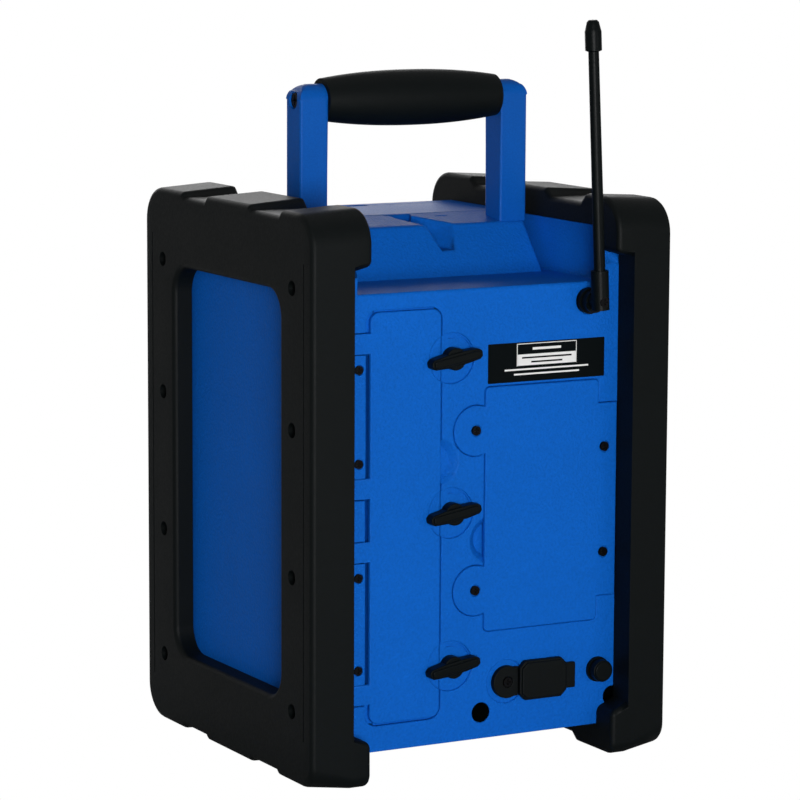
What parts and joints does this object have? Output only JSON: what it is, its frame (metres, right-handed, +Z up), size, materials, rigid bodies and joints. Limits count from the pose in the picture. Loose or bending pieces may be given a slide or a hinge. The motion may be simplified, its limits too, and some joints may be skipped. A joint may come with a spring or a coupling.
{
  "type": "jobsite radio",
  "caption": "Portable jobsite radio: blue case between black rubber side bumpers, barrel handle, folding antenna, long battery door with twist locks.",
  "frame": {"origin": "on the ground, under the middle of the bumpers' footprint", "axes": "+Z up, +Y out of the back face with the battery door, -Y out of the speaker side, +X towards the hinge side of the battery door"},
  "size_m": [0.247, 0.2341, 0.4523],
  "materials": {
    "blue_case": "fine grained moulding",
    "blue_handle": "satin paint",
    "black_rubber": "satin",
    "black_plastic": "satin",
    "label": "printed film with a plain outline",
    "dark_steel": "blackened",
    "steel": "plain",
    "brass": "plain",
    "cell_jacket": "shrink sleeve",
    "board": "solder mask",
    "grey_plastic": "satin",
    "clear_window": "tinted, clear"
  },
  "bodies": {
    "case": {"front_case": "blue_case", "back_case": "blue_case", "case_seal": "black_rubber", "bumper_left": "black_rubber", "bumper_right": "black_rubber", "bumper_screws": "dark_steel", "case_screws": "dark_steel", "label_plate": "label", "service_cover": "blue_case", "service_cover_screws": "dark_steel", "door_hinge_pin": "steel", "hinge_plate_upper": "blue_case", "hinge_plate_lower": "blue_case", "hinge_plate_screws": "dark_steel", "lock_clips": "steel", "battery_cells": "cell_jacket", "battery_contacts": "brass", "socket_cap_tab": "black_rubber", "socket_cap_screw": "dark_steel", "power_inlet": "black_plastic", "inlet_pins": "brass", "fuse_holder": "black_plastic", "fuse_tube": "grey_plastic", "antenna_base": "black_plastic", "antenna_pivot": "dark_steel", "handle_arm_left": "blue_handle", "handle_arm_right": "blue_handle", "handle_grip": "black_rubber", "handle_bar": "steel", "handle_bolts": "dark_steel", "compartment_tub": "blue_case", "lid_hinge_pins": "steel", "speaker_grille": "black_plastic", "speaker_basket": "dark_steel", "speaker_magnet": "steel", "speaker_cone": "black_plastic", "speaker_surround": "black_rubber", "speaker_screws": "dark_steel", "control_panel": "black_plastic", "display_window": "clear_window", "display_module": "grey_plastic", "control_board": "board", "main_board": "board", "transformer": "steel"},
    "door": {"battery_door": "blue_case", "door_seal": "black_rubber"},
    "lock_top": {"twist_lock_top": "black_plastic"},
    "lock_middle": {"twist_lock_middle": "black_plastic"},
    "lock_bottom": {"twist_lock_bottom": "black_plastic"},
    "socket_flap": {"socket_cap_flap": "black_rubber"},
    "fuse_knob": {"fuse_cap": "black_plastic"},
    "antenna": {"antenna_sleeve": "black_plastic", "antenna_whip": "black_plastic"},
    "lid": {"compartment_lid": "blue_case"},
    "volume": {"volume_knob": "black_plastic"},
    "tuning": {"tuning_knob": "black_plastic"},
    "power_key": {"power_button": "grey_plastic"},
    "band_key": {"band_button": "grey_plastic"},
    "memory_key": {"memory_button": "grey_plastic"},
    "scan_key": {"scan_button": "grey_plastic"}
  },
  "joints": [
    {"name": "door_hinge", "type": "hinge", "parent": "case", "child": "door", "pos_m": [0.089, 0.0938, 0.1579], "axis": [0, 0, -1], "range_deg": [0, 95]},
    {"name": "lock_top_turn", "type": "hinge", "parent": "case", "child": "lock_top", "pos_m": [0.0202, 0.098, 0.2519], "axis": [0, 1, 0], "range_deg": [0, 80]},
    {"name": "lock_middle_turn", "type": "hinge", "parent": "case", "child": "lock_middle", "pos_m": [0.0202, 0.098, 0.1579], "axis": [0, 1, 0], "range_deg": [0, 80]},
    {"name": "lock_bottom_turn", "type": "hinge", "parent": "case", "child": "lock_bottom", "pos_m": [0.0202, 0.098, 0.0639], "axis": [0, 1, 0], "range_deg": [0, 80]},
    {"name": "flap_bend", "type": "hinge", "parent": "case", "child": "socket_flap", "pos_m": [-0.02645, 0.1007, 0.0502], "axis": [0, 0, -1], "range_deg": [0, 90], "stiffness_Nm_per_rad": 0.003},
    {"name": "fuse_turn", "type": "hinge", "parent": "case", "child": "fuse_knob", "pos_m": [-0.084, 0.1, 0.0514], "axis": [0, 1, 0], "range_deg": [0, 90]},
    {"name": "antenna_fold", "type": "hinge", "parent": "case", "child": "antenna", "pos_m": [-0.0746, 0.112, 0.2824], "axis": [0, 1, 0], "range_deg": [-2.7, 62]},
    {"name": "lid_hinge", "type": "hinge", "parent": "case", "child": "lid", "pos_m": [0, -0.0196, 0.3234], "axis": [-1, 0, 0], "range_deg": [0, 85]},
    {"name": "volume_turn", "type": "hinge", "parent": "case", "child": "volume", "pos_m": [-0.066, -0.0996, 0.2775], "axis": [0, -1, 0], "range_deg": [-150, 150]},
    {"name": "tuning_turn", "type": "hinge", "parent": "case", "child": "tuning", "pos_m": [0.066, -0.0996, 0.2775], "axis": [0, -1, 0], "continuous": true},
    {"name": "power_press", "type": "slide", "parent": "case", "child": "power_key", "axis": [0, 1, 0], "range_m": [0, 0.0012], "stiffness_N_per_m": 300},
    {"name": "band_press", "type": "slide", "parent": "case", "child": "band_key", "axis": [0, 1, 0], "range_m": [0, 0.0012], "stiffness_N_per_m": 300},
    {"name": "memory_press", "type": "slide", "parent": "case", "child": "memory_key", "axis": [0, 1, 0], "range_m": [0, 0.0012], "stiffness_N_per_m": 300},
    {"name": "scan_press", "type": "slide", "parent": "case", "child": "scan_key", "axis": [0, 1, 0], "range_m": [0, 0.0012], "stiffness_N_per_m": 300}
  ]
}
